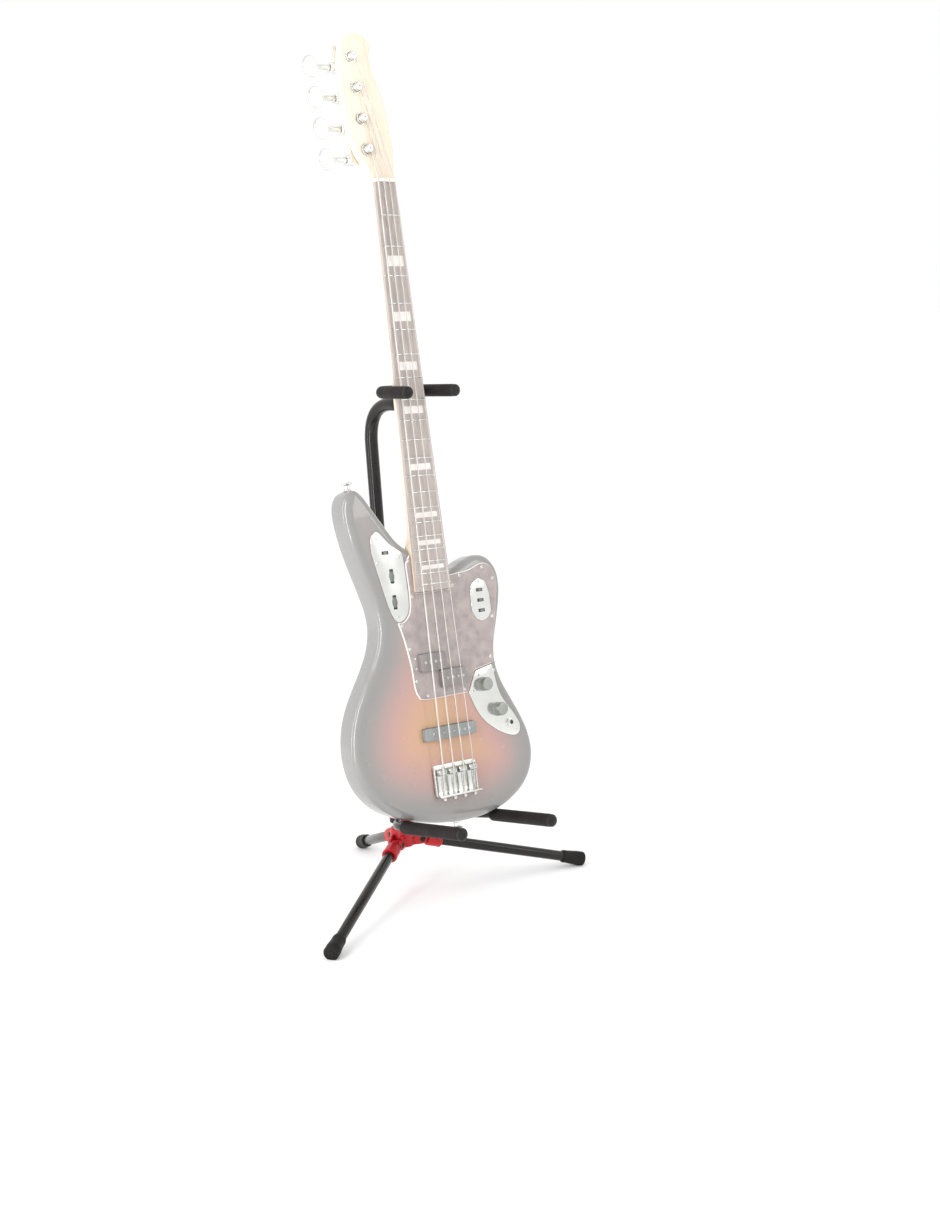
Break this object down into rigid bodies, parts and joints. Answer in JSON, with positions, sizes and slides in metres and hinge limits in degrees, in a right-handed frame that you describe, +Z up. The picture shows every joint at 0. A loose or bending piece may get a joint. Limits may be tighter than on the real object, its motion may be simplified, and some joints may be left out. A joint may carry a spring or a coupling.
{
  "type": "guitar on stand",
  "caption": "Offset-body electric bass guitar resting in the padded cradle and neck yoke of a folding tripod stand with a telescoping post.",
  "frame": {"origin": "on the floor, below the middle of the whole object", "axes": "+Z up; the guitar's face and the cradle's arms look toward -Y; +X is to the right seen from the front, so the guitar's upper horn is on the -X side"},
  "size_m": [0.5752, 0.4828, 1.2863],
  "materials": {
    "hub_red": "moulded, satin gloss",
    "black_rubber": "moulded, matt",
    "foam": "closed-cell foam sleeve, fine grain",
    "black_tube": "gloss black powder coat",
    "sunburst_finish": "three-tone sunburst under clear gloss, in the pale tones of the picture",
    "maple": "satin clear coat",
    "fingerboard": "oiled, with pale block inlays and steel frets",
    "nut": "polished bone",
    "pickguard": "tortoiseshell laminate, polished",
    "steel": "wound strings and barrel saddles",
    "pickup_cover": "moulded cover",
    "roller": "ribbed edge",
    "chrome": "polished"
  },
  "bodies": {
    "stand": {"hub": "hub_red", "lower_post": "black_tube", "cradle_frame": "black_tube", "cradle_pad_left": "foam", "cradle_pad_right": "foam"},
    "leg_front_left_assembly": {"leg_socket_front_left": "hub_red", "leg_front_left": "black_tube", "foot_front_left": "black_rubber"},
    "leg_front_right_assembly": {"leg_socket_front_right": "hub_red", "leg_front_right": "black_tube", "foot_front_right": "black_rubber"},
    "leg_rear_assembly": {"leg_socket_rear": "hub_red", "leg_rear": "black_tube", "foot_rear": "black_rubber"},
    "mast": {"upper_post": "black_tube", "yoke_frame": "black_tube", "yoke_pad": "foam"},
    "clamp_knob": {"clamp_knob": "black_rubber"},
    "guitar": {"body": "sunburst_finish", "neck": "maple", "fingerboard": "fingerboard", "nut": "nut", "pickguard": "pickguard", "upper_control_plate": "chrome", "horn_switch_plate": "chrome", "lower_control_plate": "chrome", "split_pickup_bass": "pickup_cover", "split_pickup_treble": "pickup_cover", "bridge_pickup": "pickup_cover", "bridge_plate": "chrome", "saddle_1": "steel", "string_1": "steel", "tuner_base_1": "chrome", "saddle_2": "steel", "string_2": "steel", "tuner_base_2": "chrome", "saddle_3": "steel", "string_3": "steel", "tuner_base_3": "chrome", "saddle_4": "steel", "string_4": "steel", "tuner_base_4": "chrome", "strap_button_horn": "chrome", "strap_button_end": "chrome"},
    "tuner_post_1": {"tuner_post_1": "chrome"},
    "tuner_key_1": {"tuner_key_1": "chrome"},
    "tuner_post_2": {"tuner_post_2": "chrome"},
    "tuner_key_2": {"tuner_key_2": "chrome"},
    "tuner_post_3": {"tuner_post_3": "chrome"},
    "tuner_key_3": {"tuner_key_3": "chrome"},
    "tuner_post_4": {"tuner_post_4": "chrome"},
    "tuner_key_4": {"tuner_key_4": "chrome"},
    "knob_volume": {"knob_volume": "chrome"},
    "knob_tone": {"knob_tone": "chrome"},
    "roller_knob_1": {"roller_knob_1": "roller"},
    "roller_knob_2": {"roller_knob_2": "roller"},
    "slide_switch_upper": {"slide_switch_upper": "pickup_cover"},
    "slide_switch_horn_1": {"slide_switch_horn_1": "pickup_cover"},
    "slide_switch_horn_2": {"slide_switch_horn_2": "pickup_cover"},
    "slide_switch_horn_3": {"slide_switch_horn_3": "pickup_cover"}
  },
  "joints": [
    {"name": "leg_fold_front_left", "type": "hinge", "parent": "stand", "child": "leg_front_left_assembly", "pos_m": [-0.04316, -0.00037, 0.081], "axis": [0.5736, -0.8192, 0], "range_deg": [0, 65]},
    {"name": "leg_fold_front_right", "type": "hinge", "parent": "stand", "child": "leg_front_right_assembly", "pos_m": [0.01039, 0.00907, 0.081], "axis": [0.2588, 0.9659, 0], "range_deg": [0, 65]},
    {"name": "leg_fold_rear", "type": "hinge", "parent": "stand", "child": "leg_rear_assembly", "pos_m": [-0.00833, 0.04503, 0.081], "axis": [-0.9397, 0.342, 0], "range_deg": [0, 65]},
    {"name": "mast_slide", "type": "slide", "parent": "stand", "child": "mast", "axis": [0, 0.1184, 0.993], "range_m": [-0.12, 0]},
    {"name": "clamp_knob_turn", "type": "hinge", "parent": "stand", "child": "clamp_knob", "pos_m": [0.01141, 0.05283, 0.38886], "axis": [1, 0, 0], "range_deg": [0, 360]},
    {"name": "guitar_lift_off", "type": "slide", "parent": "stand", "child": "guitar", "axis": [0, -0.9874, 0.1582], "range_m": [0, 0.22]},
    {"name": "tuner_key_turn_1", "type": "hinge", "parent": "guitar", "child": "tuner_key_1", "pos_m": [-0.08029, 0.08325, 1.10353], "axis": [-1, 0, 0], "continuous": true},
    {"name": "tuner_post_turn_1", "type": "hinge", "parent": "guitar", "child": "tuner_post_1", "pos_m": [-0.04259, 0.06339, 1.11864], "axis": [0, -0.9813, 0.1925], "continuous": true},
    {"name": "tuner_key_turn_2", "type": "hinge", "parent": "guitar", "child": "tuner_key_2", "pos_m": [-0.08329, 0.09192, 1.14769], "axis": [-1, 0, 0], "continuous": true},
    {"name": "tuner_post_turn_2", "type": "hinge", "parent": "guitar", "child": "tuner_post_2", "pos_m": [-0.04559, 0.07206, 1.1628], "axis": [0, -0.9813, 0.1925], "continuous": true},
    {"name": "tuner_key_turn_3", "type": "hinge", "parent": "guitar", "child": "tuner_key_3", "pos_m": [-0.08629, 0.10058, 1.19185], "axis": [-1, 0, 0], "continuous": true},
    {"name": "tuner_post_turn_3", "type": "hinge", "parent": "guitar", "child": "tuner_post_3", "pos_m": [-0.04859, 0.08072, 1.20696], "axis": [0, -0.9813, 0.1925], "continuous": true},
    {"name": "tuner_key_turn_4", "type": "hinge", "parent": "guitar", "child": "tuner_key_4", "pos_m": [-0.08929, 0.10925, 1.23601], "axis": [-1, 0, 0], "continuous": true},
    {"name": "tuner_post_turn_4", "type": "hinge", "parent": "guitar", "child": "tuner_post_4", "pos_m": [-0.05159, 0.08938, 1.25111], "axis": [0, -0.9813, 0.1925], "continuous": true},
    {"name": "knob_volume_turn", "type": "hinge", "parent": "guitar", "child": "knob_volume", "pos_m": [0.05441, -0.09446, 0.33538], "axis": [0, 0.9813, -0.1925], "range_deg": [0, 270]},
    {"name": "knob_tone_turn", "type": "hinge", "parent": "guitar", "child": "knob_tone", "pos_m": [0.07741, -0.10235, 0.29514], "axis": [0, 0.9813, -0.1925], "range_deg": [0, 270]},
    {"name": "roller_knob_1_turn", "type": "hinge", "parent": "guitar", "child": "roller_knob_1", "pos_m": [-0.08759, -0.04802, 0.50664], "axis": [1, 0, 0], "range_deg": [0, 270]},
    {"name": "roller_knob_2_turn", "type": "hinge", "parent": "guitar", "child": "roller_knob_2", "pos_m": [-0.08759, -0.05533, 0.46935], "axis": [1, 0, 0], "range_deg": [0, 270]},
    {"name": "slide_switch_upper_slide", "type": "slide", "parent": "guitar", "child": "slide_switch_upper", "axis": [1, 0, 0], "range_m": [-0.003, 0.003]},
    {"name": "slide_switch_horn_1_slide", "type": "slide", "parent": "guitar", "child": "slide_switch_horn_1", "axis": [1, 0, 0], "range_m": [-0.003, 0.003]},
    {"name": "slide_switch_horn_2_slide", "type": "slide", "parent": "guitar", "child": "slide_switch_horn_2", "axis": [1, 0, 0], "range_m": [-0.003, 0.003]},
    {"name": "slide_switch_horn_3_slide", "type": "slide", "parent": "guitar", "child": "slide_switch_horn_3", "axis": [1, 0, 0], "range_m": [-0.003, 0.003]}
  ],
  "couplings": [
    {"joint": "tuner_post_turn_1", "follows": "tuner_key_turn_1", "ratio": 0.05},
    {"joint": "tuner_post_turn_2", "follows": "tuner_key_turn_2", "ratio": 0.05},
    {"joint": "tuner_post_turn_3", "follows": "tuner_key_turn_3", "ratio": 0.05},
    {"joint": "tuner_post_turn_4", "follows": "tuner_key_turn_4", "ratio": 0.05}
  ]
}
